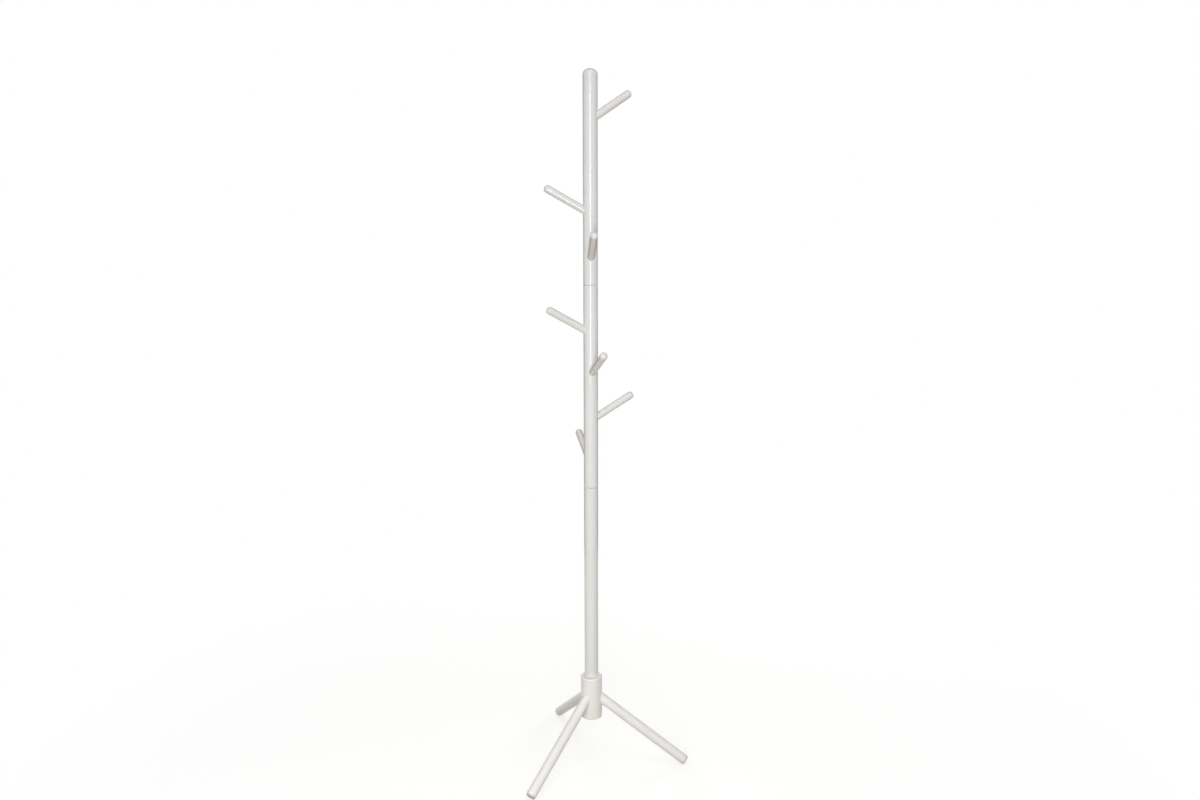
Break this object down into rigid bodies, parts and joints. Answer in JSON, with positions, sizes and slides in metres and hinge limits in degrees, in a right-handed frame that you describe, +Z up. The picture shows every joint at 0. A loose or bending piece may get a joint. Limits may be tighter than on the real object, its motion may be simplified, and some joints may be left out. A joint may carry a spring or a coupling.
{
  "type": "standing coat rack",
  "caption": "Free-standing coat rack: a round domed pole with upturned pegs around its upper part, on a turned hub with raked round legs.",
  "frame": {"origin": "on the floor, at the centre of the rectangle that the rack covers; the axis of the pole stands 59.6 mm from it towards -X", "axes": "+Z up along the pole, +X from the pole towards the foot of the first leg"},
  "size_m": [0.3862, 0.4426, 1.7489],
  "materials": {
    "white_lacquer": "white lacquer, satin, over sanded solid wood",
    "rubber": "pale grey, matt",
    "zinc_steel": "bright zinc plate",
    "brass": "plain machined"
  },
  "bodies": {
    "root": {"upper_pole": "white_lacquer", "middle_pole": "white_lacquer", "lower_pole": "white_lacquer", "hub": "white_lacquer", "leg_1": "white_lacquer", "leg_2": "white_lacquer", "leg_3": "white_lacquer", "foot_pad_1": "rubber", "foot_pad_2": "rubber", "foot_pad_3": "rubber", "peg_1": "white_lacquer", "peg_2": "white_lacquer", "peg_3": "white_lacquer", "peg_4": "white_lacquer", "peg_5": "white_lacquer", "peg_6": "white_lacquer", "peg_7": "white_lacquer", "peg_8": "white_lacquer", "pole_stud_1": "zinc_steel", "pole_stud_2": "zinc_steel", "pole_stud_3": "zinc_steel", "pole_insert_1": "brass", "pole_insert_2": "brass", "pole_insert_3": "brass", "leg_stud_1": "zinc_steel", "leg_stud_2": "zinc_steel", "leg_stud_3": "zinc_steel", "leg_insert_1": "brass", "leg_insert_2": "brass", "leg_insert_3": "brass", "peg_stud_1": "zinc_steel", "peg_stud_2": "zinc_steel", "peg_stud_3": "zinc_steel", "peg_stud_4": "zinc_steel", "peg_stud_5": "zinc_steel", "peg_stud_6": "zinc_steel", "peg_stud_7": "zinc_steel", "peg_stud_8": "zinc_steel", "peg_insert_1": "brass", "peg_insert_2": "brass", "peg_insert_3": "brass", "peg_insert_4": "brass", "peg_insert_5": "brass", "peg_insert_6": "brass", "peg_insert_7": "brass", "peg_insert_8": "brass"}
  },
  "joints": []
}
